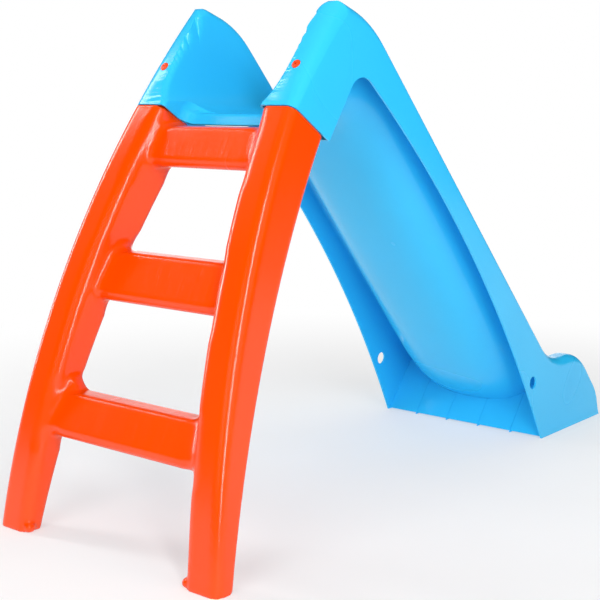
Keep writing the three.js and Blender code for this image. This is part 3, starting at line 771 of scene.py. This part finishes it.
def build_screw(side, name):
    """A screw with a domed, cross-slotted head, square to the handle's front."""
    y = side * (skirt_half(SEAM_HEIGHT) - SCREW_ACROSS * STILE_WIDTH)
    profile = [(0.3, SCREW_HEAD_RADIUS - 1.6), (0.5, SCREW_HEAD_RADIUS - 0.7), (1.0, SCREW_HEAD_RADIUS - 0.1),
               (1.5, SCREW_HEAD_RADIUS), (3.0, SCREW_HEAD_RADIUS), (3.1, SCREW_SHANK_RADIUS)]
    profile += [(3.6 + 1.2 * i, SCREW_SHANK_RADIUS - (0.5 if i % 2 else 0)) for i in range(16)]
    profile.append((SCREW_LENGTH, 1.2))
    angles = np.linspace(0, 2 * math.pi, 48, endpoint=False)
    rings = [[seam_point(depth, y + radius * math.cos(a), SCREW_REACH + radius * math.sin(a)) for a in angles]
             for depth, radius in profile]
    screw = loft(rings)
    for turn in (math.pi / 4, 3 * math.pi / 4):
        along_slot = np.array((math.cos(turn), math.sin(turn)))
        across = np.array((-along_slot[1], along_slot[0]))
        corners = [along_slot * SCREW_SLOT_REACH * u + across * SCREW_SLOT_HALF_WIDTH * v
                   for u, v in ((-1, -1), (1, -1), (1, 1), (-1, 1))]
        cut(screw, loft([[seam_point(d, y + c[0] * f, SCREW_REACH + c[1] * f) for c in corners]
                         for d, f in ((-1, 1.0), (SCREW_SLOT_BOTTOM, 0.8))]))
    screw.name = name
    return screw


# ---- materials -----------------------------------------------------------------------------------

class Shader:
    """A Principled material with a few short ways to add nodes."""

    def __init__(self, name, **inputs):
        self.material = bpy.data.materials.new(name)
        self.material.use_nodes = True
        self.tree = self.material.node_tree
        self.surface = self.tree.nodes["Principled BSDF"]
        for key, value in inputs.items():
            self.surface.inputs[key.replace("_", " ")].default_value = value
        self.place = self.node("ShaderNodeTexCoord").outputs["Object"]

    def node(self, kind, links=None, **settings):
        made = self.tree.nodes.new(kind)
        for key, value in settings.items():
            setattr(made, key, value)
        for key, value in (links or {}).items():
            if isinstance(value, bpy.types.NodeSocket):
                self.tree.links.new(value, made.inputs[key])
            else:
                made.inputs[key].default_value = value
        return made

    def math(self, operation, a, b=0.0, c=0.0):
        return self.node("ShaderNodeMath", {0: a, 1: b, 2: c}, operation=operation).outputs[0]

    def noise(self, scale, stretch=(1, 1, 1), detail=3.0):
        mapped = self.node("ShaderNodeMapping", {"Vector": self.place, "Scale": stretch})
        links = {"Vector": mapped.outputs[0], "Scale": scale, "Detail": detail}
        return self.node("ShaderNodeTexNoise", links).outputs["Fac"]

    def spread(self, value, low, high):
        """Maps the middle of a noise to a range."""
        links = {"Value": value, "From Min": 0.2, "From Max": 0.8, "To Min": low, "To Max": high}
        return self.node("ShaderNodeMapRange", links, interpolation_type="SMOOTHSTEP").outputs[0]

    def mix(self, share, a, b):
        made = self.node("ShaderNodeMix", data_type="RGBA")
        for socket, value in ((made.inputs[0], share), (made.inputs[6], a), (made.inputs[7], b)):
            if isinstance(value, bpy.types.NodeSocket):
                self.tree.links.new(value, socket)
            else:
                socket.default_value = value
        return made.outputs[2]

    def set(self, key, output):
        self.tree.links.new(output, self.surface.inputs[key])


def moulded_plastic(name, colour, deep_colour, roughness, streaks):
    """Coloured plastic: cloudy pigment, uneven polish, a fine skin and optional draw lines."""
    shader = Shader(name, IOR=1.48)
    cloud = shader.spread(shader.noise(7, detail=4), 0.0, 1.0)
    speck = shader.spread(shader.noise(420, detail=2), 0.0, 0.25)
    share = shader.math("MULTIPLY", shader.math("ADD", cloud, speck), 0.5)
    shader.set("Base Color", shader.mix(share, colour, deep_colour))
    polish = shader.spread(shader.noise(6, detail=0), roughness - 0.03, roughness + 0.04)
    height = shader.math("MULTIPLY", shader.noise(650, detail=2), 0.35)
    if streaks:
        separate = shader.node("ShaderNodeSeparateXYZ", {0: shader.place})
        across = shader.math("ABSOLUTE", separate.outputs[1])
        on_steps = shader.node("ShaderNodeMapRange", {
            "Value": across, "From Min": 0.085, "From Max": 0.125, "To Min": 1.0, "To Max": 0.12}).outputs[0]
        lines = shader.noise(1, stretch=(12, 430, 9), detail=5)
        drawn = shader.math("MULTIPLY", shader.math("MULTIPLY", lines, on_steps), streaks)
        height = shader.math("ADD", height, drawn)
        worn = shader.math("MULTIPLY", shader.spread(lines, -0.04, 0.05), on_steps)
        polish = shader.math("ADD", polish, worn)
    shader.set("Roughness", polish)
    bump = shader.node("ShaderNodeBump", {"Height": height, "Strength": 0.35, "Distance": 0.0005})
    shader.set("Normal", bump.outputs[0])
    return shader.material


def finish_piece(made, node, material, sharp=32):
    made.data.materials.clear()
    made.data.materials.append(material)
    made.data.shade_smooth()
    made.data.set_sharp_from_angle(angle=math.radians(sharp))
    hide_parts(node)
    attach(made, "root")


# ---- stage, light and camera ---------------------------------------------------------------------

def build_floor():
    """A matt white floor that turns into the plain white surroundings further out."""
    shader = Shader("floor_paint", Roughness=0.9, Specular_IOR_Level=0.1)
    shader.set("Base Color", shader.mix(shader.spread(shader.noise(3), 0.0, 1.0), (0.90, 0.90, 0.90, 1),
                                        (0.87, 0.87, 0.87, 1)))
    glow = shader.node("ShaderNodeEmission", {"Color": (1, 1, 1, 1), "Strength": 1.0})
    away = shader.node("ShaderNodeVectorMath", {0: shader.place}, operation="LENGTH").outputs["Value"]
    fade = {"Value": away, "From Min": 0.5, "From Max": 1.5, "To Min": 0.45, "To Max": 1.0}
    share = shader.node("ShaderNodeMapRange", fade, interpolation_type="SMOOTHSTEP").outputs[0]
    both = shader.node("ShaderNodeMixShader", {0: share, 1: shader.surface.outputs[0], 2: glow.outputs[0]})
    shader.tree.links.new(both.outputs[0], shader.tree.nodes["Material Output"].inputs["Surface"])
    reach = 9 / MM
    floor = add_object("floor", [(-reach, -reach, -0.4), (reach, -reach, -0.4), (reach, reach, -0.4),
                                 (-reach, reach, -0.4)], [(0, 1, 2, 3)])
    floor.data.materials.append(shader.material)


def aim(made, target):
    made.rotation_euler = (Vector(target) - made.location).to_track_quat("-Z", "Y").to_euler()


def softbox(name, place, target, size, watts, shine=True):
    light = bpy.data.lights.new(name, "AREA")
    light.shape = "RECTANGLE"
    light.size, light.size_y = size
    light.energy = watts
    made = bpy.data.objects.new(name, light)
    made.location = place
    made.visible_camera = False
    made.visible_glossy = shine
    bpy.context.scene.collection.objects.link(made)
    aim(made, target)


def build_light():
    """White surroundings, wide boxes for soft light, and narrow ones that draw the highlights."""
    world = bpy.data.worlds.new("studio")
    world.use_nodes = True
    world.node_tree.nodes["Background"].inputs[0].default_value = (1, 1, 1, 1)
    world.node_tree.nodes["Background"].inputs[1].default_value = 1.0
    world.cycles_visibility.diffuse = False
    world.cycles_visibility.glossy = False
    bpy.context.scene.world = world
    middle = (0, 0, 0.35)
    softbox("front", (-3.2, -0.6, 1.5), middle, (1.8, 1.8), 46, shine=False)
    softbox("side", (-0.3, -3.2, 1.3), middle, (1.8, 1.8), 26, shine=False)
    softbox("sky", (0.2, 0.1, 3.2), middle, (4, 4), 56, shine=False)
    softbox("back", (2.8, 2.2, 0.8), middle, (3.4, 1.4), 24)
    softbox("left_strip", (-0.9, 2.5, 1.4), middle, (0.32, 2.2), 34)
    softbox("right_strip", (-1.65, -2.05, 1.3), middle, (0.32, 2.2), 38)


def build_camera():
    camera = bpy.data.cameras.new("camera")
    camera.sensor_width = 36
    camera.lens = 73.9
    camera.shift_x = -0.0031
    camera.shift_y = -0.0305
    made = bpy.data.objects.new("camera", camera)
    made.location = (-1.5708, -1.180, 0.5986)
    heading, dip = math.radians(50.588), math.radians(8.572)
    look = Vector((math.sin(heading) * math.cos(dip), math.cos(heading) * math.cos(dip), -math.sin(dip)))
    made.rotation_euler = look.to_track_quat("-Z", "Y").to_euler()
    bpy.context.scene.collection.objects.link(made)
    bpy.context.scene.camera = made


bpy.context.scene.view_settings.view_transform = "Standard"
build_camera()
build_floor()
build_light()

SKY_BLUE = (0.032, 0.55, 0.96, 1)
DEEP_BLUE = (0.024, 0.50, 0.92, 1)
ORANGE = (0.95, 0.070, 0.0, 1)
DEEP_ORANGE = (0.90, 0.055, 0.0, 1)
blue = moulded_plastic("blue_plastic", SKY_BLUE, DEEP_BLUE, 0.24, streaks=0)
orange = moulded_plastic("orange_plastic", ORANGE, DEEP_ORANGE, 0.21, streaks=2.2)
screw_orange = moulded_plastic("screw_plastic", (0.9, 0.075, 0.01, 1), (0.8, 0.06, 0.01, 1), 0.38, streaks=0)

finish_piece(build_chute(), "chute", blue)
finish_piece(build_ladder(), "ladder", orange, sharp=80)
for side, hand in ((1, "left"), (-1, "right")):
    finish_piece(build_screw(side, f"screw_{hand}"), f"fixing_screw_{hand}", screw_orange)
